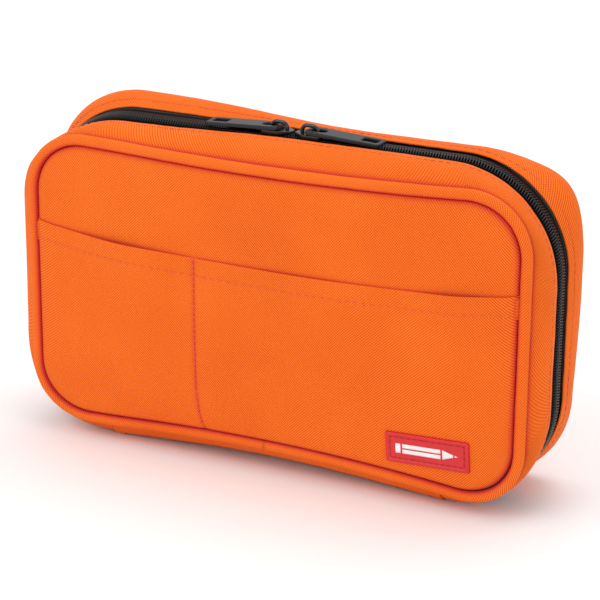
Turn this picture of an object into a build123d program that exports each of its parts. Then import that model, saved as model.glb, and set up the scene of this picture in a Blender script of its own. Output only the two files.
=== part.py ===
"""A zip-round pencil case that opens like a book, standing on its spine.

Frame, in millimetres: X runs along the length, Z is up, and the front faces -Y.
The origin is at the middle of the underside. The zip lies in the plane y = zip_y.
"""
from build123d import *
import os
from collections import namedtuple

# ---- overall sizes -------------------------------------------------------------
case_width = 200.0            # along X, over the zip
case_height = 120.0           # along Z, over the zip
case_depth = 50.0             # along Y, from the label's face to the back panel's face
zip_y = -3.0                  # the zip is nearer the front than the back

# ---- outlines of the case ------------------------------------------------------
zip_corner = 38.0             # corner radius at the zip
seam_corner = 22.5            # corner radius at the piped seams
seam_in_side = 5.7            # how far the piped seams lie inside the zip's outline
seam_in_top = 4.7
seam_in_bottom = 3.0

# ---- layers of the two covers --------------------------------------------------
label_thick = 1.0
fabric_thick = 0.8
foam_thick = 3.0
lining_thick = 0.5
piping_radius = 1.7
gusset_wall = 1.4
gusset_lining_wall = 0.6
front_bulge_run = 6.0         # length of the last, rounded stretch of each gusset
back_bulge_run = 9.0
front_bulge_share = 0.25      # share of the seam's inset that is reached there
back_bulge_share = 0.06
binding_wall = 1.0
binding_width = 6.0
binding_gap = 0.1

# ---- zip -----------------------------------------------------------------------
zip_show = 5.7                # from the zip's middle to the folded edge of the gusset
tape_thick = 0.5
coil_width = 2.6
coil_drop = 0.5                # from the folded edges down to the top of the coils
chain_gap = 1.2               # between the two coils
stop_length = 2.0
stop_width = 6.0
stop_gap = 0.2

# ---- spine and fold ------------------------------------------------------------
spine_half_length = 62.0
spine_end_gap = 0.2
fold_gap = 0.3                # between the two halves of the spine

# ---- outside pocket and label --------------------------------------------------
pocket_from_top = 44.5        # from the top of the case down to the pocket's hem
label_length = 30.5
label_height = 11.2
label_corner = 0.8
label_from_side = 38.0        # from the zip's side to the label's middle
label_middle_height = 21.8
label_turn = 2.5              # degrees

# ---- pockets inside the covers -------------------------------------------------
inner_pocket_margin = 8.0     # from the cover panel's outline
mesh_thick = 0.4
mesh_from_top = 31.0          # from the top of the case down to the pocket's mouth
elastic_height = 5.0
elastic_thick = 0.8
slip_thick = 0.6
slip_from_top = 26.0
slip_binding_height = 5.0
slip_binding_thick = 0.9

# ---- middle page ---------------------------------------------------------------
page_side_room = 14.0         # from the zip's outline to the page's edge
page_top_room = 10.0
page_bottom_room = 7.0
page_corner = 16.0
board_thick = 1.0
page_cover_thick = 0.6
page_binding_width = 1.2
pen_pocket_thick = 0.7
pen_pocket_from_top = 44.0    # from the page's top edge
pen_pocket_margin = 4.0
hinge_strip_thick = 0.6
hinge_strip_clear = 0.6       # above the spine
hinge_strip_half_length = 58.0

# ---- sliders and pulls ---------------------------------------------------------
noses_meet_x = 1.8
nose_gap = 1.0
slider_length = 10.5
slider_half_width = 4.2
slider_nose_half_width = 1.3
slider_taper_length = 4.0     # from the nose to the full width
slider_corner = 0.7
slider_edge = 0.3
slider_top_thick = 1.0
slider_base_thick = 0.9
slide_clear = 0.2
post_length = 2.4
post_width = 0.8
post_from_nose = 0.7
lip_length = 7.0
lip_width = 0.6
crown_length = 7.2
crown_wire_radius = 0.7
crown_room = 1.8              # clear height under the crown
crown_bend = 1.9              # bend radius of the wire's middle
tab_length = 27.0             # from the pivot to the free end
tab_width = 7.6
tab_thick = 1.2
tab_eye = 4.6                 # from the pivot to the far end of the eye
tab_eye_width = 3.4
tab_eye_corner = 1.5
tab_window_length = 5.8
tab_window_width = 3.9
tab_window_margin = 1.6
tab_window_corner = 0.4
tab_corner = 1.2
tab_edge = 0.3
tab_droop = 3.0               # degrees, free end resting towards the zip

# ---- places worked out from the sizes ------------------------------------------
front_face_y = -case_depth / 2
back_face_y = case_depth / 2
Outline = namedtuple("Outline", "half low high corner")
zip_outline = Outline(case_width / 2, 0.0, case_height, zip_corner)
seam_outline = Outline(case_width / 2 - seam_in_side, seam_in_bottom,
                       case_height - seam_in_top, seam_corner)


def inset(outline, by):
    """The same outline, moved inwards all round."""
    return Outline(outline.half - by, outline.low + by, outline.high - by, outline.corner - by)


def between(first, second, share):
    """An outline part of the way from the first to the second."""
    return Outline(*(a + (b - a) * share for a, b in zip(first, second)))


panel_outline = inset(seam_outline, gusset_wall + piping_radius)
piping_outline = inset(seam_outline, gusset_wall)
pocket_front_y = front_face_y + label_thick
panel_front_y = pocket_front_y + fabric_thick
foam_front_y = panel_front_y + fabric_thick
lining_front_y = foam_front_y + foam_thick
front_inside_y = lining_front_y + lining_thick
foam_back_y = back_face_y - fabric_thick
lining_back_y = foam_back_y - foam_thick
back_inside_y = lining_back_y - lining_thick
front_seam_y = panel_front_y + 2 * piping_radius
back_seam_y = back_face_y - 2 * piping_radius
front_edge_y = zip_y - zip_show
back_edge_y = zip_y + zip_show
tape_inset = gusset_wall - tape_thick
coil_thick = tape_inset - coil_drop
chain_thick = coil_thick + tape_thick
pocket_top = case_height - pocket_from_top
mesh_top = case_height - mesh_from_top
slip_top = case_height - slip_from_top
page_outline = Outline(case_width / 2 - page_side_room, page_bottom_room,
                       case_height - page_top_room, page_corner)


def face_at(outline, y):
    """A rounded rectangle standing in the plane at depth y."""
    middle = (outline.low + outline.high) / 2
    plane = Plane(origin=(0, y, middle), x_dir=(1, 0, 0), z_dir=(0, -1, 0))
    return plane * RectangleRounded(2 * outline.half, outline.high - outline.low, outline.corner)


def plate(outline, y_from, y_to):
    """A flat piece with the outline's shape, between two depths."""
    return extrude(face_at(outline, y_to), amount=y_to - y_from, dir=(0, -1, 0))


def block(x_from, x_to, y_from, y_to, z_from, z_to):
    size = (x_to - x_from, y_to - y_from, z_to - z_from)
    middle = ((x_from + x_to) / 2, (y_from + y_to) / 2, (z_from + z_to) / 2)
    return Pos(*middle) * Box(*size)


def ring(outline, wall, y_from, y_to):
    return plate(outline, y_from, y_to) - plate(inset(outline, wall), y_from, y_to)


def side_wall(sections, outer, inner):
    """A wall lofted through outlines at several depths, between two insets."""
    outside = loft([face_at(inset(shape, outer), y) for y, shape in sections], ruled=True)
    inside = loft([face_at(inset(shape, inner), y) for y, shape in sections], ruled=True)
    return outside - inside


def spine_room(extra):
    """The block that the spine takes out of the side wall, along the underside."""
    reach = spine_half_length + extra
    return block(-reach, reach, -case_depth, case_depth, -gusset_wall, zip_corner / 2)


def front_sections():
    bulge = between(zip_outline, seam_outline, front_bulge_share)
    return [(front_edge_y, zip_outline), (front_seam_y + front_bulge_run, bulge),
            (front_seam_y, seam_outline)]


def back_sections():
    bulge = between(zip_outline, seam_outline, back_bulge_share)
    return [(back_edge_y, zip_outline), (back_seam_y - back_bulge_run, bulge),
            (back_seam_y, seam_outline)]


# ---- covers ----------------------------------------------------------------------
def gusset(sections):
    return side_wall(sections, 0, gusset_wall) - spine_room(spine_end_gap)


def gusset_lining(sections):
    return side_wall(sections, gusset_wall, gusset_wall + gusset_lining_wall)


def spine_half(sections, fold_y):
    """The underside from the piped seam to the fold, as one bent strip."""
    bent = side_wall(sections, 0, gusset_wall) & spine_room(0)
    edge_y = sections[0][0]
    flat = block(-spine_half_length, spine_half_length, min(edge_y, fold_y),
                 max(edge_y, fold_y), 0, gusset_wall)
    return bent + flat


def piping(centre_y):
    path = face_at(piping_outline, centre_y).face().outer_wire()
    start = Plane(origin=path @ 0, z_dir=path % 0)
    return sweep(start * Circle(piping_radius), path=path)


def seam_binding(sections, y_from, y_to):
    """A tape round the inside of the side wall, beside the cover."""
    outer = gusset_wall + gusset_lining_wall + binding_gap
    slab = block(-case_width, case_width, y_from, y_to, -case_height, 2 * case_height)
    return side_wall(sections, outer, outer + binding_wall) & slab


def front_pocket():
    whole = plate(panel_outline, pocket_front_y, panel_front_y)
    return whole - block(-case_width, case_width, -case_depth, 0, pocket_top, case_height)


def label():
    middle = (case_width / 2 - label_from_side, pocket_front_y, label_middle_height)
    plane = Plane(origin=middle, x_dir=(1, 0, 0), z_dir=(0, -1, 0))
    shape = plane * Rot(0, 0, label_turn) * RectangleRounded(label_length, label_height,
                                                             label_corner)
    return extrude(shape, amount=label_thick, dir=(0, -1, 0))


def inner_pocket(y_from, y_to, z_from, z_to):
    """A flat pocket on the inside of a cover, as wide as the margin leaves."""
    whole = plate(inset(panel_outline, inner_pocket_margin), y_from, y_to)
    return whole & block(-case_width, case_width, y_from, y_to, z_from, z_to)


# ---- zip ---------------------------------------------------------------------------
def chain_part(outer, wall, y_from, y_to):
    """One stretch of tape or coil, round the case and open along the spine."""
    reach = stop_length + 2 * stop_gap
    return ring(inset(zip_outline, outer), wall, y_from, y_to) - spine_room(reach)


def zip_stops():
    start = spine_half_length + stop_gap
    right = block(start, start + stop_length, zip_y - stop_width / 2,
                  zip_y + stop_width / 2, 0, gusset_wall)
    return [right, mirror(right, about=Plane.YZ)]


# ---- middle page -------------------------------------------------------------------
def page_layer(y_from, y_to):
    return plate(inset(page_outline, page_binding_width), y_from, y_to)


def pen_pocket(y_from, y_to):
    whole = plate(inset(page_outline, pen_pocket_margin), y_from, y_to)
    top = page_outline.high - pen_pocket_from_top
    return whole & block(-case_width, case_width, y_from, y_to, 0, top)


def hinge_strip():
    half = hinge_strip_thick / 2
    return block(-hinge_strip_half_length, hinge_strip_half_length, zip_y - half, zip_y + half,
                 gusset_wall + hinge_strip_clear, page_bottom_room)


# ---- sliders, drawn with the nose towards +X and the zip's middle as their origin ------
def slider_plate(z_from, thick):
    half = slider_length / 2
    shoulder = half - slider_taper_length
    right = [(-half, slider_half_width), (shoulder, slider_half_width),
             (half, slider_nose_half_width)]
    left = [(x, -y) for x, y in reversed(right)]
    shape = make_face(Polyline(*right, *left, close=True))
    return Pos(0, 0, z_from) * extrude(fillet(shape.vertices(), slider_corner), amount=thick)


def slider():
    top = slider_plate(slide_clear, slider_top_thick)
    top = fillet(top.edges().group_by(Axis.Z)[-1], slider_edge)
    base = slider_plate(-chain_thick - slide_clear - slider_base_thick, slider_base_thick)
    post_end = slider_length / 2 - post_from_nose
    post = block(post_end - post_length, post_end, -post_width / 2, post_width / 2,
                 -chain_thick - slide_clear, slide_clear)
    lip_y = chain_gap / 2 + coil_width + slide_clear
    lip = block(-lip_length / 2, lip_length / 2, lip_y, lip_y + lip_width,
                -coil_thick + slide_clear, slide_clear)
    return top + base + post + Pos(slider_corner + (lip_length - slider_length) / 2, 0) * lip


def crown():
    """A bent wire on the slider, with the pull's end bar under it."""
    foot = slide_clear + slider_top_thick
    reach = crown_length / 2 - crown_wire_radius
    top = foot + crown_room + crown_wire_radius
    path = FilletPolyline((-reach, 0, foot), (-reach, 0, top), (reach, 0, top),
                          (reach, 0, foot), radius=crown_bend)
    return sweep(Pos(-reach, 0, foot) * Circle(crown_wire_radius), path=path)


def pivot_height():
    return slide_clear + slider_top_thick + crown_room / 2


def pull_tab():
    """A long flat pull, its eye round the crown's leg and a window near the free end."""
    bar_end = tab_thick / 2
    shape = Pos((bar_end - tab_length) / 2, 0) * RectangleRounded(
        bar_end + tab_length, tab_width, tab_corner)
    eye_length = tab_eye - bar_end + tab_eye_width / 2
    eye = Pos(-bar_end - eye_length / 2, 0) * RectangleRounded(
        eye_length, tab_eye_width, tab_eye_corner)
    window_x = -tab_length + tab_window_margin + tab_window_length / 2
    window = Pos(window_x, 0) * RectangleRounded(
        tab_window_length, tab_window_width, tab_window_corner)
    shape -= eye + window
    body = extrude(shape, amount=tab_thick / 2, both=True)
    body = chamfer(body.edges().group_by(Axis.Z)[-1], tab_edge)
    return Pos(0, 0, pivot_height()) * Rot(0, -tab_droop, 0) * body


def placed(piece, side):
    """A piece of a slider in its place: side -1 is the left slider, 1 the right one."""
    turned = mirror(piece, about=Plane.YZ) if side > 0 else piece
    x = noses_meet_x + side * (nose_gap + slider_length) / 2
    return Pos(x, zip_y, case_height - coil_drop) * turned


def parts():
    """Every node's name with its solid or solids."""
    front = front_sections()
    back = back_sections()
    half_gap = chain_gap / 2
    coil_front = zip_y - half_gap - coil_width
    coil_back = zip_y + half_gap + coil_width
    half_board = board_thick / 2
    cover_out = half_board + page_cover_thick
    pen_out = cover_out + pen_pocket_thick
    inner_low = panel_outline.low + inner_pocket_margin
    nodes = {
        "front_panel": plate(panel_outline, panel_front_y, foam_front_y),
        "front_foam": plate(panel_outline, foam_front_y, lining_front_y),
        "front_lining": plate(panel_outline, lining_front_y, front_inside_y),
        "front_pocket": front_pocket(),
        "label": label(),
        "front_piping": piping(front_seam_y - piping_radius),
        "front_gusset": gusset(front),
        "front_gusset_lining": gusset_lining(front),
        "front_binding": seam_binding(front, front_inside_y, front_inside_y + binding_width),
        "front_spine": spine_half(front, zip_y - fold_gap / 2),
        "mesh_pocket": inner_pocket(front_inside_y, front_inside_y + mesh_thick,
                                    inner_low, mesh_top),
        "mesh_pocket_elastic": inner_pocket(front_inside_y, front_inside_y + elastic_thick,
                                            mesh_top, mesh_top + elastic_height),
        "front_zip_tape": chain_part(tape_inset, tape_thick, front_edge_y, zip_y - half_gap),
        "front_zip_coil": chain_part(coil_drop, coil_thick, coil_front, zip_y - half_gap),
        "back_panel": plate(panel_outline, foam_back_y, back_face_y),
        "back_foam": plate(panel_outline, lining_back_y, foam_back_y),
        "back_lining": plate(panel_outline, back_inside_y, lining_back_y),
        "back_piping": piping(back_seam_y + piping_radius),
        "back_gusset": gusset(back),
        "back_gusset_lining": gusset_lining(back),
        "back_binding": seam_binding(back, back_inside_y - binding_width, back_inside_y),
        "back_spine": spine_half(back, zip_y + fold_gap / 2),
        "slip_pocket": inner_pocket(back_inside_y - slip_thick, back_inside_y,
                                    inner_low, slip_top),
        "slip_pocket_binding": inner_pocket(back_inside_y - slip_binding_thick, back_inside_y,
                                            slip_top, slip_top + slip_binding_height),
        "back_zip_tape": chain_part(tape_inset, tape_thick, zip_y + half_gap, back_edge_y),
        "back_zip_coil": chain_part(coil_drop, coil_thick, zip_y + half_gap, coil_back),
        "zip_stops": zip_stops(),
        "page_board": page_layer(zip_y - half_board, zip_y + half_board),
        "page_front_cover": page_layer(zip_y - cover_out, zip_y - half_board),
        "page_back_cover": page_layer(zip_y + half_board, zip_y + cover_out),
        "page_binding": ring(page_outline, page_binding_width, zip_y - cover_out,
                             zip_y + cover_out),
        "page_hinge_strip": hinge_strip(),
        "front_pen_pocket": pen_pocket(zip_y - pen_out, zip_y - cover_out),
        "back_pen_pocket": pen_pocket(zip_y + cover_out, zip_y + pen_out),
    }
    for name, side in (("left", -1), ("right", 1)):
        nodes["slider_" + name] = placed(slider(), side)
        nodes["slider_crown_" + name] = placed(crown(), side)
        nodes["pull_tab_" + name] = placed(pull_tab(), side)
    return nodes


os.makedirs("parts", exist_ok=True)
for node, shape in parts().items():
    solids = Compound(children=shape) if isinstance(shape, list) else shape
    export_step(solids, "parts/" + node + ".step")
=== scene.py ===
"""Looks of a zip-round pencil case that opens like a book.

Shapes are worked out in millimetres on numpy grids and written to the meshes in metres. X runs
along the case, Z is up and the front cover faces -Y. Outlines are closed loops in the XZ plane.
"""
import math
from collections import namedtuple

import bmesh
import bpy
import numpy as np
from mathutils import Matrix, Vector


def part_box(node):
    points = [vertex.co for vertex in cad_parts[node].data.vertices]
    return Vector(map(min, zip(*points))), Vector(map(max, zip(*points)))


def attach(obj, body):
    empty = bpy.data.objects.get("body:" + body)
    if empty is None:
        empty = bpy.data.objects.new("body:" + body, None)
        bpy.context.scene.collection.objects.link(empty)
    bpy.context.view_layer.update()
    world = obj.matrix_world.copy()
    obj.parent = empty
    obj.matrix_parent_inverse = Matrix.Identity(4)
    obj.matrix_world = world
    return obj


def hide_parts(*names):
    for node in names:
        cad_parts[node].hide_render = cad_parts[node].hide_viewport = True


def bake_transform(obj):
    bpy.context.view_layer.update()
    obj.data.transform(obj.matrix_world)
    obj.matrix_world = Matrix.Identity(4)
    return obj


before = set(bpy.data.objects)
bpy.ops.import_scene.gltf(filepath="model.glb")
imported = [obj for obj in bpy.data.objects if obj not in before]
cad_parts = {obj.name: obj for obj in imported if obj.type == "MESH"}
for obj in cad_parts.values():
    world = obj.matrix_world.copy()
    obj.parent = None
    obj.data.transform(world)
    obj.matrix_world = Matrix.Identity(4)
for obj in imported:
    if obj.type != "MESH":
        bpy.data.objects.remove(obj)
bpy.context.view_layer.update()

MM = 0.001
LOW, HIGH = 0, 1
X, Y, Z = 0, 1, 2


def reach(node, side, axis):
    """One face of a CAD node's box, in millimetres."""
    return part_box(node)[side][axis] / MM


# ---- outlines and depths, from the frame --------------------------------------------------------
Outline = namedtuple("Outline", "half low high corner")
Cover = namedtuple("Cover", "name body facing seam_in_y cord_y seam_out_y edge_y inside_y bulge")

SPINE_THICK = 0.8
FOLD_RADIUS = 0.35
FOLD_BACK = 0.9                # the fold's edge lies this much further from the zip than its node
SEAM_BAND = 3.0                # from the outer seam to the inner seam, seen from the front
CORD_RADIUS = 2.0
BOW_TOP = 4.0                  # how far the piped seams dip at the middle of the top
BOW_BOTTOM = 6.3               # and how far they rise at the middle of the underside
FOOT_RISE = 4.0                # how far the foot itself rises there
ZIP_CORNER = 38.0
SEAM_CORNER = 22.5

front_edge_y = reach("front_gusset", HIGH, Y)
back_edge_y = reach("back_gusset", LOW, Y)
fold_y = (front_edge_y + back_edge_y) / 2
foot_z = reach("back_spine", LOW, Z)

ZIP = Outline(reach("front_gusset", HIGH, X), foot_z + SPINE_THICK, reach("front_gusset", HIGH, Z),
              ZIP_CORNER)
SEAM_OUT = Outline(reach("front_piping", HIGH, X) - 0.1, reach("front_piping", LOW, Z) + 0.3,
                   reach("front_piping", HIGH, Z) - 0.3, SEAM_CORNER)
SEAM_IN = Outline(SEAM_OUT.half - SEAM_BAND, SEAM_OUT.low + SEAM_BAND + 0.8,
                  SEAM_OUT.high - SEAM_BAND, SEAM_CORNER - 2)
CORD = Outline(SEAM_OUT.half - 1.2, SEAM_OUT.low + 1.5, SEAM_OUT.high - 1.2, SEAM_CORNER - 0.9)


def cover(name, node, facing, edge_y, bulge):
    """The depths of one cover, measured back from the outer face of its CAD panel."""
    face = reach(node, HIGH if facing > 0 else LOW, Y)
    inside = reach(name + "_lining", LOW if facing > 0 else HIGH, Y)
    return Cover(name, name + "_shell", facing, face - facing * 2.7, face - facing * 3.5,
                 face - facing * 5.1, edge_y, inside, bulge)


def front_bulge(x, z):
    """How far the front's side wall stands out: more low down, and most at the left end."""
    low_left = np.exp(-((x + 84) / 17) ** 2 - ((z - 12) / 15) ** 2)
    return (0.7 + 0.7 / (1 + np.exp((z - 35) / 8)) + 2.2 * np.exp(-((x + 100) / 13) ** 2)
            + 2.0 * low_left)


def back_bulge(x, z):
    """How far the back's side wall stands out: most along the top's left half, some at the right
    side, and little at the underside."""
    top = 1 / (1 + np.exp((95 - z) / 5))
    right = np.exp(-((x - 100) / 14) ** 2 - ((z - 74) / 34) ** 2)
    corner = np.exp(-((x - 93) / 14) ** 2 - ((z - 108) / 15) ** 2)
    return 1.0 + 0.4 * top + 4.2 * top / (1 + np.exp((x + 12) / 12)) + 2.0 * right + 3.8 * corner


FRONT = cover("front", "front_panel", -1, front_edge_y - 0.3, front_bulge)
BACK = cover("back", "back_panel", 1, back_edge_y + FOLD_BACK, back_bulge)
ARC_STEPS = 40
SIDE_STEPS = 56
LENGTH_STEPS = 130


def mix(a, b, share):
    return a + (b - a) * share


def grid(*parts):
    """Coordinates that vary by row, by column or not at all, stacked over one grid."""
    return np.stack(np.broadcast_arrays(*parts), -1)


def unit(vectors):
    return vectors / np.linalg.norm(vectors, axis=-1, keepdims=True)


def bow_depth(x, up, outline):
    """How far a seam's height moves towards the middle: most at mid-length, and again a little at
    the left end. up is -1 on the lower run and 1 on the upper one."""
    along = np.clip(1 - (x / outline.half) ** 2, 0, 1)
    left = np.exp(-((x + 88) / 20) ** 2)
    return up * np.where(up > 0, BOW_TOP * along + 1.1 * left, BOW_BOTTOM * along + 1.7 * left)


def bowed(x, z, outline, amount):
    """Heights with a share of the bow applied."""
    middle = (outline.low + outline.high) / 2
    return z - amount * bow_depth(x, (z - middle) / (outline.high - middle), outline)


def loop(outline, bow=0.0):
    """A rounded rectangle as (x, z) points, anticlockwise from the middle of its underside:
    straights in even steps and corners as quarter circles, with the bow applied at the end."""
    half, low, high, corner = outline
    turn = np.linspace(0, math.pi / 2, ARC_STEPS, endpoint=False)

    def line(start, end, steps):
        share = np.linspace(0, 1, steps, endpoint=False)[:, None]
        return mix(np.array(start, float), np.array(end, float), share)

    def arc(cx, cz, quarter):
        angle = turn + quarter * math.pi / 2
        return np.stack([cx + corner * np.cos(angle), cz + corner * np.sin(angle)], 1)

    near, floor, roof = half - corner, low + corner, high - corner
    points = np.concatenate([
        line((0, low), (near, low), LENGTH_STEPS // 2), arc(near, floor, 3),
        line((half, floor), (half, roof), SIDE_STEPS), arc(near, roof, 0),
        line((near, high), (-near, high), LENGTH_STEPS), arc(-near, roof, 1),
        line((-half, roof), (-half, floor), SIDE_STEPS), arc(-near, floor, 2),
        line((-near, low), (0, low), LENGTH_STEPS // 2)])
    points[:, 1] = bowed(points[:, 0], points[:, 1], outline, bow)
    return points


def outward(points):
    """Unit normals of a closed loop: each chord between neighbours, turned a quarter clockwise."""
    chord = np.roll(points, -1, 0) - np.roll(points, 1, 0)
    return unit(np.stack([chord[:, 1], -chord[:, 0]], 1))


def lengths(points):
    """Distance travelled along a line of points, from its first one."""
    steps = np.linalg.norm(np.diff(points, axis=0), axis=1)
    return np.concatenate([[0], np.cumsum(steps)])


def waves(s, seed, amount, longest=60.0):
    """A gentle unevenness along a length: five sine waves of falling length and seeded phase."""
    draw = np.random.default_rng(seed)
    total = np.zeros_like(s, dtype=float)
    for order in range(1, 6):
        phase = draw.uniform(0, 2 * math.pi)
        total += np.sin(2 * math.pi * s * order ** 1.3 / longest + phase) / order
    return amount * total


# ---- meshes -------------------------------------------------------------------------------------
def mark(piece, name, values):
    """Keeps one number for each of a piece's points as an attribute."""
    values = np.asarray(values, np.float32).ravel()
    piece.data.attributes.new(name, "FLOAT", "POINT").data.foreach_set("value", values)


def add_mesh(name, points, faces, material, uv=None, smooth=True):
    """A mesh object from points in millimetres, faces as lists of indices and one UV per point."""
    mesh = bpy.data.meshes.new(name)
    mesh.from_pydata((points.reshape(-1, 3) * MM).tolist(), [], faces)
    mesh.polygons.foreach_set("use_smooth", np.full(len(mesh.polygons), smooth))
    if uv is not None:
        layer = mesh.uv_layers.new(name="cloth")
        corner = np.zeros(len(mesh.loops), np.int32)
        mesh.loops.foreach_get("vertex_index", corner)
        layer.data.foreach_set("uv", np.asarray(uv, np.float32).reshape(-1, 2)[corner].ravel())
    mesh.materials.append(material)
    piece = bpy.data.objects.new(name, mesh)
    bpy.context.scene.collection.objects.link(piece)
    return piece


def grid_faces(rows, columns, wrap_rows=False, wrap_columns=False, flip=False):
    """Quads over a grid of points numbered row by row, joined round where it wraps."""
    i = np.arange(rows if wrap_rows else rows - 1)[:, None]
    j = np.arange(columns if wrap_columns else columns - 1)[None, :]
    i2, j2 = (i + 1) % rows, (j + 1) % columns
    quads = grid(i * columns + j, i2 * columns + j, i2 * columns + j2,
                 i * columns + j2).reshape(-1, 4)
    return quads[:, ::-1] if flip else quads


def tidy_normals(piece):
    """Merges doubled points and turns every face of a closed piece outwards."""
    work = bmesh.new()
    work.from_mesh(piece.data)
    bmesh.ops.remove_doubles(work, verts=work.verts, dist=1e-6)
    bmesh.ops.recalc_face_normals(work, faces=work.faces)
    work.to_mesh(piece.data)
    work.free()
    return piece


SEAM_SHADE = 1.1               # how far from a seam its painted shade reaches


def grid_piece(name, points, material, uv, wrap_rows=False, wrap_columns=False, caps=False,
               shade_from_seams=None):
    """A piece from a grid of points. Rows run along the piece and columns round or across it;
    caps close the two ends of a tube with one face each. The last argument is each point's
    distance to the nearest seam, kept as an attribute of painted seam shade that falls from 1 on
    the seam to 0."""
    rows, columns = points.shape[:2]
    faces = grid_faces(rows, columns, wrap_rows, wrap_columns).tolist()
    if caps:
        first, last = range(columns), range((rows - 1) * columns, rows * columns)
        faces += [list(first), list(reversed(last))]
    piece = add_mesh(name, points, faces, material, uv)
    if shade_from_seams is not None:
        far = np.broadcast_to(shade_from_seams, points.shape[:2]) / SEAM_SHADE
        # painted shade near the seams, stored for the cloth to mix in
        mark(piece, "near_seam", np.exp(-far ** 2))
    return tidy_normals(piece)


def turned(piece, wrong):
    """Turns an open sheet over if the sum of wrong over its faces is below nothing."""
    if sum(wrong(p) * p.area for p in piece.data.polygons) < 0:
        piece.data.flip_normals()
    return piece


def face_out(piece, facing):
    """Turns an open sheet so that its faces look along the given Y direction."""
    return turned(piece, lambda p: p.normal.y * facing)


def point_outwards(piece):
    """Turns an open wall so that most of its faces look away from the case's middle."""
    middle = Vector((0, 0, ZIP.high / 2 * MM))
    return turned(piece, lambda p: (p.center - middle).dot(Vector((p.normal.x, 0, p.normal.z))))


def thicken(piece, thick, offset=-1.0):
    """Gives a sheet its thickness with a live Solidify modifier."""
    wall = piece.modifiers.new("thickness", "SOLIDIFY")
    wall.thickness = thick * MM
    wall.offset = offset
    wall.use_even_offset = True
    return piece


def line_inside(piece):
    """Makes a cloth's thickness part of its mesh, and marks the points of its inner face, the
    second half of them, which a dark backing covers."""
    bpy.context.view_layer.update()
    shown = piece.evaluated_get(bpy.context.evaluated_depsgraph_get())
    mesh = bpy.data.meshes.new_from_object(shown)
    mesh.name = piece.name
    piece.modifiers.clear()
    piece.data = mesh
    mark(piece, "lined", np.repeat([0.0, 1.0], len(mesh.vertices) // 2))


def fit(piece, body, slot, *nodes):
    """Says which body a piece moves with and which CAD nodes it is, and hides those nodes. slot,
    the finish it would take, is not used.
    """
    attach(piece, body)
    if nodes:
        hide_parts(*nodes)
    return piece


def carried_round(name, path, off, y, across, material, shade_from_seams=None):
    """A closed tube round a loop. At each point of the loop stands a ring, whose points lie off
    along the loop's normal and at their own y, and across gives their place on the cloth."""
    normal = outward(path)
    x, z = (path[:, [k]] + normal[:, [k]] * off for k in (0, 1))
    return grid_piece(name, grid(x, y, z), material, grid(lengths(path)[:, None], across),
                      wrap_rows=True, wrap_columns=True, shade_from_seams=shade_from_seams)


def ring_angles(count):
    return np.linspace(0, 2 * math.pi, count, endpoint=False)


TUBE_RINGS, TUBE_SIDES = 7, 6


def little_tubes(name, centre, one, two, girth, along, turn, material):
    """Many short closed tubes in one piece: six-sided rings of a given girth round each line of
    seven centres. one and two are the ring's axes, and turn scales the cloth map round it."""
    angle = ring_angles(TUBE_SIDES)
    ring = (one[:, :, None] * np.cos(angle)[:, None] + two[:, :, None] * np.sin(angle)[:, None])
    points = centre[:, :, None] + ring * girth[:, None, None]
    size = TUBE_RINGS * TUBE_SIDES
    ends = [[0, 1, 2, 3], [0, 3, 4, 5], [39, 38, 37, 36], [41, 40, 39, 36]]
    each = np.concatenate([grid_faces(TUBE_RINGS, TUBE_SIDES, wrap_columns=True), np.array(ends)])
    faces = (each[None] + (np.arange(len(centre)) * size)[:, None, None]).reshape(-1, 4)
    uv = grid(along[:, :, None], turn * angle)
    return tidy_normals(add_mesh(name, points, faces.tolist(), material, uv))


# ---- materials ----------------------------------------------------------------------------------
class Value:
    """A socket inside a material. Arithmetic on it adds Math nodes."""

    def __init__(self, finish, socket):
        self.finish = finish
        self.socket = socket

    def math(self, operation, *others):
        inputs = dict(enumerate((self,) + others))
        return self.finish.node("ShaderNodeMath", {"operation": operation}, inputs)

    def __add__(self, other):
        return self.math("ADD", other)

    def __mul__(self, other):
        return self.math("MULTIPLY", other)

    def __sub__(self, other):
        return self.math("SUBTRACT", other)

    def __rsub__(self, other):
        return (self * -1.0).math("ADD", other)

    __radd__, __rmul__ = __add__, __mul__

    def sin(self):
        return self.math("SINE")

    def abs(self):
        return self.math("ABSOLUTE")

    def wave(self, pitch):
        """Ribs from 0 to 1, one for each pitch."""
        return (self * (2 * math.pi / pitch)).sin() * 0.5 + 0.5


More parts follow.
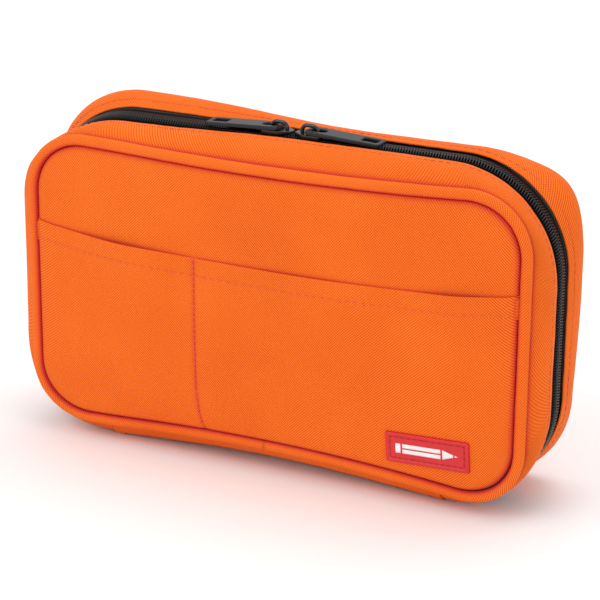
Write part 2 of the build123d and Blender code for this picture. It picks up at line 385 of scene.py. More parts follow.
class Finish:
    """One material, built node by node."""

    def __init__(self, name):
        self.material = bpy.data.materials.new(name)
        self.material.use_nodes = True
        self.tree = self.material.node_tree
        self.tree.nodes.clear()

    def node(self, kind, settings=None, inputs=None, out=0):
        """Adds a node, sets its settings first and then its sockets, and gives one output."""
        made = self.tree.nodes.new(kind)
        for key, value in (settings or {}).items():
            if key == "stops":
                ramp = made.color_ramp
                for place, (at, color) in enumerate(value):
                    stop = ramp.elements[place] if place < 2 else ramp.elements.new(at)
                    stop.position, stop.color = at, (*color, 1)
            else:
                setattr(made, key, value)
        for key, value in (inputs or {}).items():
            self.plug(made.inputs[key], value)
        return Value(self, made.outputs[out])

    def plug(self, socket, value):
        """Links a value to a socket, or sets a number or a colour on it."""
        if isinstance(value, Value):
            self.tree.links.new(value.socket, socket)
        elif isinstance(value, tuple) and len(socket.default_value) == 4:
            socket.default_value = (*value, 1)
        else:
            socket.default_value = value

    def attribute(self, name):
        return self.node("ShaderNodeAttribute", {"attribute_name": name}, None, 2)

    def along_and_across(self):
        """The piece's own cloth map, in millimetres along and across it."""
        cloth = self.node("ShaderNodeUVMap", {"uv_map": "cloth"})
        return [self.node("ShaderNodeSeparateXYZ", None, {0: cloth}, out) for out in (0, 1)]

    def place(self):
        return self.node("ShaderNodeTexCoord", None, None, 3)

    def noise(self, scale, detail=2.0):
        """Smooth noise on object coordinates; scale is in lumps per metre."""
        return self.node("ShaderNodeTexNoise", None, {
            "Vector": self.place(), "Scale": scale, "Detail": detail, "Roughness": 0.5})

    def blend(self, share, first, second):
        """A colour between two, by a share from 0 to 1."""
        return self.node("ShaderNodeMix", {"data_type": "RGBA"}, {0: share, 6: first, 7: second}, 2)

    def bump(self, height, depth):
        """A bump from a height of about 0 to 1, whose full depth is in millimetres."""
        return self.node("ShaderNodeBump", None, {
            "Height": height, "Distance": depth * MM, "Strength": 1.0})

    def done(self, **sockets):
        """Ends the material with a Principled shader; names use _ for a space."""
        shader = self.tree.nodes.new("ShaderNodeBsdfPrincipled")
        for name, value in sockets.items():
            self.plug(shader.inputs[name.replace("_", " ")], value)
        out = self.tree.nodes.new("ShaderNodeOutputMaterial")
        self.tree.links.new(shader.outputs[0], out.inputs["Surface"])
        return self.material


# The cloth's oranges: the first carries a painted highlight for the yarn tops, the middle is the
# cloth's own colour and the last carries painted shade for the weave's crevices.
ORANGE_HIGHLIGHT = (0.99, 0.215, 0.024)
ORANGE = (0.87, 0.140, 0.008)
ORANGE_CREVICE_SHADE = (0.66, 0.058, 0.002)
# Deep red of the painted shade along the seams.
PAINTED_SEAM_SHADE_RED = (0.62, 0.013, 0.040)
BACKING_GREY = (0.030, 0.031, 0.034)


def toned(color, share, more=0.0):
    return tuple(min(1.0, share * c + more) for c in color)


def shell_cloth(name="orange_oxford", pitch=0.50, depth=0.12):
    """Plain-woven polyester: yarns cross like a chessboard, so light runs in fine diagonals."""
    cloth = Finish(name)
    along, across = cloth.along_and_across()
    rate = math.pi / pitch
    rising = ((along - across) * rate + math.pi / 2).sin()
    falling = ((along + across) * rate + math.pi / 2).sin()
    lean = cloth.noise(16.0, 1.0) * 1.5 - 0.25
    woven = rising * lean - falling * (1 - lean)
    yarn = cloth.noise(2600.0, 1.0)
    height = woven * 0.5 + yarn * 0.34 + 0.33
    # The colour follows the weave's height, with painted shade in its crevices and a painted
    # highlight on the yarn tops; the broad noise adds the cloth's random tone.
    shade = height * 0.74 + cloth.noise(30.0, 3.0) * 0.3 - 0.02
    weave_lit_color = cloth.node("ShaderNodeValToRGB", {"stops": [
        (0.16, ORANGE_CREVICE_SHADE), (0.80, ORANGE_HIGHLIGHT), (0.48, ORANGE)]}, {0: shade})
    # Painted shade: the cloth turns deep red near the seams, by the seam attribute from grid_piece.
    seam_shaded = cloth.blend(cloth.attribute("near_seam") * 0.85, weave_lit_color, PAINTED_SEAM_SHADE_RED)
    color = cloth.blend(cloth.attribute("lined"), seam_shaded, BACKING_GREY)
    return cloth.done(Base_Color=color, Roughness=0.62, Normal=cloth.bump(height, depth),
                      Sheen_Weight=0.04, Sheen_Roughness=0.45, Sheen_Tint=(1.0, 0.45, 0.15),
                      Specular_IOR_Level=0.12)


def thread(name, color):
    """Twisted sewing thread: slanting ply lines over the length of each stitch."""
    twist = Finish(name)
    along, across = twist.along_and_across()
    ply = (along * 9.0 + across * 9.0).sin() * 0.5 + 0.5
    return twist.done(Base_Color=twist.blend(ply, toned(color, 0.78), color), Roughness=0.55,
                      Normal=twist.bump(ply, 0.06), Sheen_Weight=0.2)


def dark_cloth(name, color, pitch, depth):
    """A plain dark weave with threads along and across."""
    cloth = Finish(name)
    along, across = cloth.along_and_across()
    rate = math.pi / pitch
    woven = (along * rate).sin() * (across * rate).sin() * 0.5 + 0.5
    shade = woven * 0.5 + cloth.noise(60.0, 2.0) * 0.5
    color = cloth.blend(shade, toned(color, 0.55), toned(color, 1.7, 0.004))
    return cloth.done(Base_Color=color, Roughness=0.8, Normal=cloth.bump(woven, depth),
                      Sheen_Weight=0.25, Sheen_Roughness=0.5)


TAPE_RIB, TAPE_WEFT = 0.62, 0.5
ELASTIC_CORD = 0.9
NET_MESH, NET_SOLID = 1.4, 0.62


def tape_cloth():
    """Zip tape: fine ribs along it and a closer row of wefts across."""
    tape = Finish("zip_tape_black")
    along, across = tape.along_and_across()
    rib = across.wave(TAPE_RIB)
    weft = (along * (2 * math.pi / TAPE_WEFT) + across * 2.0).sin() * 0.5 + 0.5
    height = rib * 0.6 + weft * 0.4
    color = tape.blend(height, (0.002, 0.002, 0.0024), (0.011, 0.011, 0.012))
    return tape.done(Base_Color=color, Roughness=0.7, Normal=tape.bump(height, 0.10),
                     Sheen_Weight=0.02, Sheen_Roughness=0.4, Specular_IOR_Level=0.08)


def grained(name, scale, detail, colors, rough, depth, **sockets):
    """A plain finish whose colour, roughness and bump follow one fine noise. rough is how much
    the noise adds to the roughness and the least that it is."""
    plain = Finish(name)
    grain = plain.noise(scale, detail)
    return plain.done(Base_Color=plain.blend(grain, *colors), Roughness=grain * rough[0] + rough[1],
                      Normal=plain.bump(grain, depth), **sockets)


def enamel():
    """Black gloss enamel on the sliders, with faint orange peel."""
    paint = Finish("slider_enamel")
    peel = paint.noise(700.0, 1.0)
    worn = paint.noise(160.0, 4.0)
    color = paint.blend(worn, (0.006, 0.006, 0.007), (0.02, 0.02, 0.021))
    return paint.done(Base_Color=color, Metallic=0.25, Roughness=worn * 0.12 + 0.12,
                      Normal=paint.bump(peel, 0.012), Coat_Weight=0.6, Coat_Roughness=0.08)


def plate_metal():
    """Satin dark grey on the pulls: fine cast grain with small scuffs."""
    metal = Finish("pull_satin_grey")
    grain = metal.noise(2400.0, 3.0)
    scuff = metal.noise(120.0, 4.0)
    color = metal.blend(scuff, (0.018, 0.020, 0.023), (0.034, 0.037, 0.041))
    return metal.done(Base_Color=color, Metallic=0.6, Roughness=grain * 0.14 + 0.33,
                      Normal=metal.bump(grain, 0.01), Coat_Weight=0.1)


def rubber(name, color, rough):
    """Soft moulded rubber, very finely textured."""
    soft = Finish(name)
    grain = soft.noise(3200.0, 2.0)
    patch = soft.noise(150.0, 2.0)
    shade = soft.blend(patch, toned(color, 0.86), toned(color, 1.12))
    return soft.done(Base_Color=shade, Roughness=grain * 0.1 + rough,
                     Normal=soft.bump(grain, 0.02), Specular_IOR_Level=0.45)


def foam_finish():
    """Open-cell foam, hidden between the cloth and the lining."""
    foam = Finish("foam_cells")
    cells = foam.node("ShaderNodeTexVoronoi", None, {"Vector": foam.place(), "Scale": 900.0})
    color = foam.blend(cells, (0.62, 0.61, 0.56), (0.8, 0.79, 0.74))
    return foam.done(Base_Color=color, Roughness=0.95, Normal=foam.bump(cells, 0.3))


def net_finish():
    """Open net: thin crossing strands with gaps between them."""
    net = Finish("pocket_net")
    along, across = net.along_and_across()
    rate = math.pi / NET_MESH
    one = ((along + across) * rate).sin().abs()
    two = ((along - across) * rate).sin().abs()
    strand = 1 - one.math("MINIMUM", two)
    return net.done(Base_Color=net.blend(strand, (0.008, 0.008, 0.009), (0.03, 0.03, 0.034)),
                    Roughness=0.6, Alpha=strand.math("GREATER_THAN", NET_SOLID),
                    Normal=net.bump(strand, 0.2))


def elastic_finish():
    """Ribbed elastic: narrow cords side by side."""
    band = Finish("elastic_band")
    across = band.along_and_across()[1]
    rib = across.wave(ELASTIC_CORD)
    color = band.blend(rib, (0.006, 0.006, 0.007), (0.03, 0.03, 0.033))
    return band.done(Base_Color=color, Roughness=0.75, Normal=band.bump(rib, 0.18))


cloth_orange = shell_cloth()
cloth_piping = shell_cloth("orange_piping", 0.50, 0.08)
thread_orange = thread("thread_orange", (0.92, 0.150, 0.014))
thread_divider = thread("thread_divider", (0.82, 0.060, 0.014))
thread_red = thread("thread_red", (0.45, 0.01, 0.012))
thread_dark = thread("thread_dark", (0.02, 0.02, 0.022))
cloth_lining = dark_cloth("lining_grey", (0.035, 0.036, 0.040), 0.32, 0.05)
cloth_binding = dark_cloth("binding_black", (0.012, 0.012, 0.013), 0.5, 0.10)
zip_cloth = tape_cloth()
zip_nylon = grained("zip_coil_nylon", 900.0, 2.0, ((0.002, 0.002, 0.0022), (0.007, 0.007, 0.008)),
                    (0.1, 0.2), 0.01, Specular_IOR_Level=0.3)
slider_paint = enamel()
slider_metal = grained("slider_gunmetal", 1500.0, 2.0,
                       ((0.020, 0.020, 0.022), (0.045, 0.045, 0.048)), (0.1, 0.15), 0.006,
                       Metallic=0.7)
pull_metal = plate_metal()
label_rubber = rubber("label_rubber_red", (0.68, 0.018, 0.022), 0.42)
label_white = rubber("label_print_white", (0.88, 0.88, 0.88), 0.5)
foam_cells = foam_finish()
pocket_net = net_finish()
elastic_band = elastic_finish()
board_pe = grained("page_board_pe", 500.0, 2.0, ((0.7, 0.7, 0.68), (0.84, 0.84, 0.82)),
                   (0.0, 0.5), 0.03)


# ---- the two covers -----------------------------------------------------------------------------
def face_grid(outline, columns, rows, bow, top_share=None):
    """A grid over a rounded rectangle: a square grid whose corner cells are drawn into quarter
    discs. With top_share, the rows stop at that share of the way up, one share for each column."""
    half, low, high, corner = outline
    tall, middle = (high - low) / 2, (high + low) / 2
    s = np.linspace(-1, 1, columns)[:, None]
    rise = np.linspace(0, 1, rows)[None, :]
    top = np.ones((columns, 1)) if top_share is None else np.asarray(top_share)[:, None]
    x, z = np.broadcast_arrays(s * half, (rise * top * 2 - 1) * tall)
    a = np.clip((np.abs(x) - (half - corner)) / corner, 0, 1)
    b = np.clip((np.abs(z) - (tall - corner)) / corner, 0, 1)
    both = (a > 0) & (b > 0)
    x2 = np.sign(x) * (half - corner + corner * a * np.sqrt(1 - b * b / 2))
    z2 = np.sign(z) * (tall - corner + corner * b * np.sqrt(1 - a * a / 2))
    x, z = np.where(both, x2, x), np.where(both, z2, z) + middle
    return x, bowed(x, z, outline, bow)


def from_seam(x, z, outline, bow):
    """Distance in from the bowed rounded rectangle: the usual rounded-box distance, reversed,
    and nothing outside it."""
    middle = (outline.low + outline.high) / 2
    flat_z = z - middle + bow * bow_depth(x, (z - middle) / (outline.high - middle), outline)
    qx = np.abs(x) - (outline.half - outline.corner)
    qz = np.abs(flat_z) - ((outline.high - outline.low) / 2 - outline.corner)
    outside = np.hypot(np.maximum(qx, 0), np.maximum(qz, 0))
    return np.maximum(outline.corner - outside - np.minimum(np.maximum(qx, qz), 0), 0)


PANEL_THICK = 0.7
LINING_THICK = 0.3
EDGE_RISE, EDGE_REACH = 1.75, 3.4
CROWN_RISE, CROWN_REACH = 0.75, 22.0


def face_rise(x, z):
    """How far a cover's face stands out from its seam: a quick rise beside the seam, a broad
    crown towards the middle, and faint hollows where the foam gives."""
    inward = from_seam(x, z, SEAM_IN, 1.0)
    edge = 1 - np.exp(-inward / EDGE_REACH)
    crown = 1 - np.exp(-inward / CROWN_REACH)
    uneven = np.sin(x / 17.0 + 0.6) * np.sin(z / 13.0 + 1.1) + np.sin(x / 41.0 - z / 29.0)
    return EDGE_RISE * edge + CROWN_RISE * crown + 0.10 * uneven * crown


def face_y(side, x, z, out=0.0):
    return side.seam_in_y + side.facing * (face_rise(x, z) + out)


def cover_panel(side):
    """The padded face of a cover, tucked in at the seam, with its thickness behind it."""
    x, z = face_grid(SEAM_IN, 170, 104, 1.0)
    inward = from_seam(x, z, SEAM_IN, 1.0)
    tuck = -1.1 * np.exp(-inward / 0.55)
    outer = grid(x, face_y(side, x, z, tuck), z)
    # Painted seam shade: it reaches in from the seam, and on the front also from the pocket's hem,
    # above which shade is painted on the panel.
    shaded = inward
    if side.facing < 0:
        shaded = np.minimum(inward, np.maximum(z - hem_height(x), 0) + 0.5)
    piece = grid_piece(side.name + "_panel_cloth", outer, cloth_orange, grid(x, z),
                       shade_from_seams=shaded)
    thicken(face_out(piece, side.facing), PANEL_THICK)
    fit(piece, side.body, "shell_fabric", side.name + "_panel")
    return piece


def cover_foam(side):
    """The foam sheet behind a cover's cloth: the face's own shape in front, flat behind."""
    x, z = face_grid(SEAM_IN, 84, 52, 1.0)
    inward = np.minimum(from_seam(x, z, SEAM_IN, 1.0), 1)
    front_y = face_y(side, x, z, -0.9 - 0.6 * (1 - inward))
    front = grid(x, front_y, z)
    rear_y = side.inside_y + side.facing * 0.7
    rear = grid(x, side.facing * np.minimum(side.facing * rear_y, side.facing * front_y - 0.05), z)
    count = x.size
    columns, rows = x.shape
    faces = [grid_faces(columns, rows), grid_faces(columns, rows, flip=True) + count]
    number = np.arange(count).reshape(columns, rows)
    rim = np.concatenate([number[:-1, 0], number[-1, :-1], number[:0:-1, -1], number[0, :0:-1]])
    after = np.roll(rim, -1)
    faces.append(np.stack([rim, rim + count, after + count, after], 1))
    piece = tidy_normals(add_mesh(side.name + "_foam_sheet", np.stack([front, rear]),
                                  np.concatenate(faces).tolist(), foam_cells))
    fit(piece, side.body, "foam", side.name + "_foam")
    return piece


def cover_piping(side):
    """The covered cord round a cover: a circle carried round the bowed outline."""
    path = loop(CORD, 1.0)
    angle = ring_angles(20)
    radius = CORD_RADIUS + waves(lengths(path), 3, 0.03, 37.0)[:, None]
    y = side.cord_y + side.facing * radius * np.sin(angle)
    # Distances to where the cord meets the face and the wall, where painted seam shade lies.
    to_face = np.abs(np.angle(np.exp(1j * (angle - 2.75)))) * CORD_RADIUS
    to_wall = np.abs(np.angle(np.exp(1j * (angle + 1.0)))) * CORD_RADIUS
    piece = carried_round(side.name + "_piping_cord", path, radius * np.cos(angle), y,
                          CORD_RADIUS * angle, cloth_piping, np.minimum(to_face, to_wall))
    return fit(piece, side.body, "piping", side.name + "_piping")


EDGE_STITCH = 2.3              # from the folded edge to the row of stitches


def wall_profile(side):
    """Shares across the side wall, from the seam at 0 to the folded edge at 1, closer together
    beside both ends and at the stitched row."""
    span = abs(side.edge_y - side.seam_out_y)
    at_seam = np.array([0, 0.15, 0.35, 0.6, 0.9, 1.3, 1.9]) / span
    at_stitch = 1 - (EDGE_STITCH + np.array([1.4, 1.0, 0.7, 0.45, 0.22, 0, -0.22, -0.45, -0.7,
                                             -1.1, -1.5, -1.9])) / span
    middle = np.linspace(at_seam[-1], at_stitch[0], 12 if side.facing < 0 else 20)[1:-1]
    return np.concatenate([at_seam, middle, at_stitch, [1]])


def wall_line(seam, edge, normal, share, push):
    """x and z across the side wall: a convex curve from seam to edge, pushed out along normal."""
    lean = 1 - (1 - share) ** 1.9
    return (mix(seam[:, [k]], edge[:, [k]], lean) + normal[:, [k]] * push for k in (0, 1))


def wall_swell(share):
    """The bulge's share across the wall: an arch that is fullest a little on the zip's side."""
    return np.sin(math.pi * share ** 0.85)


def wall_surface(side, seam, edge, normal, share, out=0.0):
    """The side wall's outer face. Each point lies between the seam and the folded edge, on a
    convex curve, pushed out by a bulge, rolled in at the seam and drawn in at the stitches."""
    span = abs(side.edge_y - side.seam_out_y)
    share = np.asarray(share)[None, :]
    push = side.bulge(edge[:, :1], edge[:, 1:]) * wall_swell(share) + out
    push = push - 0.9 * np.exp(-share * span / 0.5)
    push = push - 0.12 * np.exp(-(((1 - share) * span - EDGE_STITCH) / 0.4) ** 2)
    x, z = wall_line(seam, edge, normal, share, push)
    return grid(x, mix(side.seam_out_y, side.edge_y, share), z)


WALL_GAP, ZIP_GAP = 50.0, 60.0  # half the stretch of the underside left to the spine


def foot_lift(x):
    """The foot's rise along its length: a flattened arch that is level near its ends."""
    return FOOT_RISE * np.clip(1 - (x / ZIP.half) ** 2, 0, 1) ** 3


def zip_loop():
    """The zip's outline, whose underside rises a little at its middle."""
    points = loop(ZIP)
    middle = (ZIP.low + ZIP.high) / 2
    points[:, 1] += foot_lift(points[:, 0]) * np.clip((middle - points[:, 1]) / middle, 0, 1)
    return points


def zip_tilt(x, z):
    """How much lower the zip's front edge lies than its back edge: most at the top's left end."""
    top = 1 / (1 + np.exp((100 - z) / 3))
    return top * (0.3 + 2.3 / (1 + np.exp((x + 28) / 13)))


def open_run(points, reach_x):
    """The rows of a loop that are left when the underside's middle stretch is cut out."""
    middle = points[:, 1].mean()
    return np.flatnonzero(~((points[:, 1] < middle) & (np.abs(points[:, 0]) < reach_x)))


def wall_loops(side):
    """Seam points, zip points, normals and length of every row of the side wall."""
    seam, edge = loop(SEAM_OUT, 1.0), zip_loop()
    normal = unit(outward(edge) + outward(seam))
    if side.facing < 0:
        edge = edge - normal * zip_tilt(edge[:, :1], edge[:, 1:])
    rows = open_run(edge, WALL_GAP)
    seam, edge, normal = seam[rows], edge[rows], normal[rows]
    return seam, edge, normal, lengths(edge)


WALL_TUCK = 0.9                # how much of the side wall the piping hides


def cover_gusset(side):
    """The side wall of a cover: its face, the fold beside the zip and the turned-in cloth, which
    follows the face from below."""
    seam, edge, normal, s = wall_loops(side)
    edge = edge + normal * waves(s, 11 if side.facing < 0 else 12, 0.05, 48.0)[:, None]
    face = wall_surface(side, seam, edge, normal, wall_profile(side))
    angle = np.linspace(0, math.pi, 9)[1:, None]
    inset = FOLD_RADIUS * (1 - np.cos(angle))
    roll = grid(edge[:, 0] - normal[:, 0] * inset, side.edge_y - side.facing * FOLD_RADIUS
                * np.sin(angle), edge[:, 1] - normal[:, 1] * inset).transpose(1, 0, 2)
    span = abs(side.edge_y - side.seam_out_y)
    under = wall_surface(side, seam, edge, normal, 1 - np.array([0.8, 2.0, 3.5, 5.5]) / span,
                         -2 * FOLD_RADIUS)
    points = np.concatenate([face, roll, under], 1)
    wave = waves(s, 21 if side.facing < 0 else 22, 0.10, 42.0)[:, None]
    points[..., 1] += wave * np.clip(1 - np.abs(points[..., 1] - side.edge_y) / 5.0, 0, 1)
    across = lengths(points[len(s) // 2])
    # Painted seam shade, from where the wall comes out from under the piping.
    piece = grid_piece(side.name + "_gusset_cloth", points, cloth_orange,
                       grid(s[:, None], across), shade_from_seams=np.maximum(across - WALL_TUCK, 0))
    line_inside(thicken(point_outwards(piece), LINING_THICK))
    return fit(piece, side.body, "shell_fabric", side.name + "_gusset")


def tube_stitches(name, path, normal, material, length=2.2, gap=0.5, radius=0.16, lift=0.02):
    """A row of stitches along a path: each is a short six-sided capsule that arches out along
    the normal and dives in at its ends. The path is sampled by distance."""
    s = lengths(path)
    count = max(1, int(s[-1] / (length + gap)))
    start = (np.arange(count) + 0.5) * s[-1] / count
    t = np.linspace(-0.5, 0.5, TUBE_RINGS)
    at = start[:, None] + t * length
    centre = grid(*(np.interp(at, s, path[:, k]) for k in range(3)))
    away = unit(grid(*(np.interp(at, s, normal[:, k]) for k in range(3))))
    arch = lift + radius * 0.8 - 1.6 * radius * (2 * np.abs(t)) ** 3
    centre = centre + away * arch[:, None]
    direction = unit(np.gradient(centre, axis=1))
    sideways = np.cross(direction, away)
    girth = radius * np.sqrt(np.clip(1 - (2 * t) ** 6, 0.04, 1))
    return little_tubes(name, centre, sideways, np.cross(sideways, direction), girth, at, radius,
                        material)


def gusset_stitches(side):
    """The row of stitches that holds the folded edge to the zip tape."""
    seam, edge, normal, s = wall_loops(side)
    span = abs(side.edge_y - side.seam_out_y)
    row = wall_surface(side, seam, edge, normal, [1 - EDGE_STITCH / span])[:, 0]
    away = grid(normal[:, 0], 0 * s, normal[:, 1])
    return fit(tube_stitches(side.name + "_gusset_stitches", row, away, thread_orange),
               side.body, "shell_fabric")


# ---- the zip ------------------------------------------------------------------------------------
TAPE_DEPTH = 1.3               # below the outline of the folded edges
TAPE_THICK = 0.45
COIL_HALF = 2.75
TOOTH_PITCH = 1.0
COIL_HEIGHT = 1.05


def zip_path(depth):
    """Rows round the zip at a depth below its outline, in even steps, open along the spine."""
    edge = zip_loop()
    normal = outward(edge)
    rows = open_run(edge, ZIP_GAP)
    edge, normal = edge[rows] - normal[rows] * depth, normal[rows]
    return edge, normal, lengths(edge), zip_tilt(edge[:, 0], edge[:, 1])


def tilt_share(y):
    """The share of the zip's tilt at a depth: nothing at the back edge, all at the front edge."""
    return (BACK.edge_y - y) / (BACK.edge_y - FRONT.edge_y)


def zip_tape(side):
    """One half of the tape: a thin strip under the fold, rising a little to the coil."""
    edge, normal, s, tilt = zip_path(TAPE_DEPTH)
    hidden, middle = side.edge_y + side.facing * 3.0, fold_y + side.facing * 0.25
    across = np.linspace(0, 1, 15)
    y = mix(hidden, middle, across)
    top = 0.12 * np.exp(-((np.abs(y - fold_y) - COIL_HALF) / 0.5) ** 2)
    y_all = np.concatenate([y, y[::-1]])
    out = np.concatenate([top, np.full(15, -TAPE_THICK)])[None, :]
    out = out - tilt[:, None] * tilt_share(y_all)[None, :]
    points = grid(edge[:, :1] + normal[:, :1] * out, y_all, edge[:, 1:] + normal[:, 1:] * out)
    piece = grid_piece(side.name + "_zip_tape_cloth", points, zip_cloth,
                       grid(s[:, None], np.abs(y_all - fold_y)), wrap_columns=True, caps=True)
    return fit(piece, side.body, "zip_tape", side.name + "_zip_tape")


def zip_coil(side):
    """One half of the coil: a loop of nylon for each tooth. Its line climbs from the tape at the
    outer side, runs over the top at a slant and ends in a rounded head past the middle."""
    edge, normal, s, tilt = zip_path(TAPE_DEPTH)
    count = int(s[-1] / TOOTH_PITCH)
    shift = 0.25 if side.facing < 0 else 0.75
    at = (np.arange(count) + shift) * s[-1] / count
    #              across,  along, height
    line = np.array([(COIL_HALF, 0.00, 0.10), (COIL_HALF + 0.05, 0.02, 0.55),
                     (COIL_HALF - 0.35, 0.10, 0.92), (1.2, 0.40, COIL_HEIGHT),
                     (0.25, 0.62, COIL_HEIGHT + 0.04), (-0.22, 0.72, 0.80),
                     (-0.25, 0.74, 0.35)])
    girth = np.array([0.28, 0.29, 0.30, 0.29, 0.33, 0.34, 0.26])
    along = at[:, None] + line[None, :, 1]
    base_x, base_z = (np.interp(along, s, edge[:, k]) for k in (0, 1))
    away_x, away_z = (np.interp(along, s, normal[:, k]) for k in (0, 1))
    y = fold_y + side.facing * line[:, 0]
    height = line[:, 2] - np.interp(along, s, tilt) * tilt_share(y)
    centre = grid(base_x + away_x * height, y, base_z + away_z * height)
    direction = unit(np.gradient(centre, axis=1))
    run = grid(-away_z, 0.0, away_x)
    one = unit(run - direction * (run * direction).sum(-1, keepdims=True))
    piece = little_tubes(side.name + "_zip_coil_teeth", centre, one, np.cross(direction, one),
                         girth, along, 1.0, zip_nylon)
    return fit(piece, side.body, "zip_coil", side.name + "_zip_coil")


# ---- the outside pocket and the label -----------------------------------------------------------
HEM_ENDS = 4.6                 # how much higher the hem is at its ends than at its middle
HEM_ROLL = 0.45
HEM_STITCH = 6.0               # from the hem down to its stitches
DIVIDER_X = -27.0
POCKET_THICK = 0.35
POCKET_OUT = 0.55              # the pocket's cloth over the face of the cover


def hem_height(x):
    """The hem's height: level along the middle and rising towards both ends."""
    middle = reach("front_pocket", HIGH, Z) + 0.6
    return middle + HEM_ENDS * np.abs(x / SEAM_IN.half) ** 2.6


def pocket_gape(x, z):
    """How far the pocket's cloth stands off: three soft bellies under the hem, held down at the
    divider's seam, at the ends and further down."""
    below = np.maximum(hem_height(x) - z, 0)
    bellies = (1.5 * np.exp(-((x + 56) / 15) ** 2) + 0.55 * np.exp(-((x - 14) / 20) ** 2)
               + 1.3 * np.exp(-((x - 70) / 10) ** 2))
    return bellies * np.exp(-(below / 17.0) ** 2) + 0.25 * np.exp(-(below / 8.0) ** 2)


def divider_line(z):
    """The divider's seam: nearly upright, leaning in towards its lower end."""
    return DIVIDER_X + 5.5 * np.exp(-np.maximum(z - 8.0, 0) / 9.0)


def pocket_y(x, z, out=0.0):
    """The pocket's outer face, with a shallow valley along the divider's stitches."""
    valley = np.exp(-((x - divider_line(z)) / 1.2) ** 2)
    stand = POCKET_OUT + pocket_gape(x, z) * (1 - 0.7 * valley) - 0.40 * valley
    row = np.exp(-((hem_height(x) - z - HEM_STITCH) / 0.55) ** 2)
    return face_y(FRONT, x, z, stand - 0.16 * row + out)


def front_pocket():
    """The slip pocket's cloth: its face, the rolled hem and the turned-in hem behind."""
    half, low, high = SEAM_IN[:3]
    columns = 190
    s = np.linspace(-1, 1, columns)
    hem = hem_height(s * half)
    top_share = (hem - low) / (high - low)
    x, z = face_grid(SEAM_IN, columns, 96, 1.0, top_share)
    hem_shift = z[:, -1:] - hem[:, None]
    z = z - hem_shift * ((z - low) / (hem[:, None] - low)) ** 3
    y = pocket_y(x, z)
    inward = from_seam(x, z, SEAM_IN, 1.0)
    y = y - FRONT.facing * 1.5 * np.exp(-inward / 0.5)
    angle = np.linspace(0, math.pi, 8)[1:]
    x_top, z_top, y_top = x[:, -1:], z[:, -1:], y[:, -1:]
    roll_z = z_top + HEM_ROLL * np.sin(angle)
    roll_y = y_top - FRONT.facing * HEM_ROLL * (1 - np.cos(angle))
    down = np.array([1.0, 2.5, 5.0, 7.5])
    back_z = z_top - down
    back_x = np.broadcast_to(x_top, back_z.shape)
    back_y = pocket_y(back_x, back_z, -2 * HEM_ROLL + 0.12)
    points = np.concatenate([grid(x, y, z), grid(x_top, roll_y, roll_z),
                             grid(back_x, back_y, back_z)], 1)
    across = np.stack([lengths(column) for column in points]) + low
    # Painted shade along the pocket's seams and along the divider's stitches; the hem's roll and
    # turn-in get none.
    edge_in = np.concatenate([inward, np.full((columns, points.shape[1] - x.shape[1]), 9.0)], 1)
    line = np.abs(points[..., 0] - divider_line(points[..., 2])) + 0.7
    piece = grid_piece("front_pocket_cloth", points, cloth_orange, grid(points[..., 0], across),
                       shade_from_seams=np.minimum(edge_in, line))
    thicken(face_out(piece, FRONT.facing), POCKET_THICK)
    fit(piece, FRONT.body, "shell_fabric", "front_pocket")
    width, tall = 2 * SEAM_IN.half * MM, (hem.mean() - low + 8.0) * MM
    return piece


def pocket_stitches():
    """The hem's row of stitches and the divider's, both following the pocket's face."""
    x = np.linspace(-SEAM_IN.half + 1.5, SEAM_IN.half - 1.5, 400)
    z = hem_height(x) - HEM_STITCH
    hem_row = grid(x, pocket_y(x, z), z)
    away = np.tile([0.0, float(FRONT.facing), 0.0], (400, 1))
    hem_piece = tube_stitches("pocket_hem_stitches", hem_row, away, thread_orange, 2.4, 0.6, 0.17)
    top = hem_height(DIVIDER_X)
    z = np.linspace(top - 0.3, SEAM_IN.low + BOW_BOTTOM * 0.95, 300)
    x = divider_line(z)
    piece = tube_stitches("pocket_divider_stitches", grid(x, pocket_y(x, z), z), away[:300],
                          thread_divider, 2.0, 0.12, 0.20)
    for each in (hem_piece, piece):
        fit(each, FRONT.body, "shell_fabric")


LABEL_TURN = math.radians(2.5)
LABEL_BORDER = 1.25
LABEL_GROOVE = 1.75
LABEL_SIZE = (30.5, 11.2)
LABEL_CORNER = 0.8


def label_point(a, b, out):
    """Points on the label, from its own length and height, laid on the pocket's cloth."""
    low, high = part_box("label")
    middle = (low + high) / 2 / MM
    x = middle.x + a * math.cos(LABEL_TURN) - b * math.sin(LABEL_TURN)
    z = middle.z + a * math.sin(LABEL_TURN) + b * math.cos(LABEL_TURN)
    flat = face_y(FRONT, x, z, POCKET_OUT + 0.1)
    return grid(x, flat + FRONT.facing * out, z)


def label_plate():
    """The moulded label: rounded edge, raised border, a stitched groove and a flat field."""
    long_side, short_side = LABEL_SIZE
    a = np.linspace(-long_side / 2, long_side / 2, 184)[:, None]
    b = np.linspace(-short_side / 2, short_side / 2, 70)[None, :]
    a, b = np.broadcast_arrays(a, b)
    round_ = LABEL_CORNER
    qx, qz = np.abs(a) - long_side / 2 + round_, np.abs(b) - short_side / 2 + round_
    inward = round_ - np.hypot(np.maximum(qx, 0), np.maximum(qz, 0)) - np.minimum(
        np.maximum(qx, qz), 0)
    inward = np.maximum(inward, 0)
    edge = np.sqrt(1 - (1 - np.clip(inward / 0.4, 0, 1)) ** 2)
    step = 1 / (1 + np.exp((inward - LABEL_BORDER) / 0.07))
    groove = np.exp(-((inward - LABEL_GROOVE) / 0.22) ** 2)
    height = edge * (0.62 + 0.30 * step) - 0.22 * groove
    pull = np.clip(1 - inward / round_, 0, 1)
    corner = (qx > 0) & (qz > 0)
    shrink = round_ / np.maximum(np.hypot(qx, qz), round_)
    a2 = np.where(corner, np.sign(a) * (long_side / 2 - round_ + qx * shrink), a)
    b2 = np.where(corner, np.sign(b) * (short_side / 2 - round_ + qz * shrink), b)
    points = label_point(a2, b2, height - 0.05 * pull)
    piece = grid_piece("label_plate", points, label_rubber, grid(a, b))
    thicken(face_out(piece, FRONT.facing), 0.4)
    return fit(piece, FRONT.body, "label", "label")


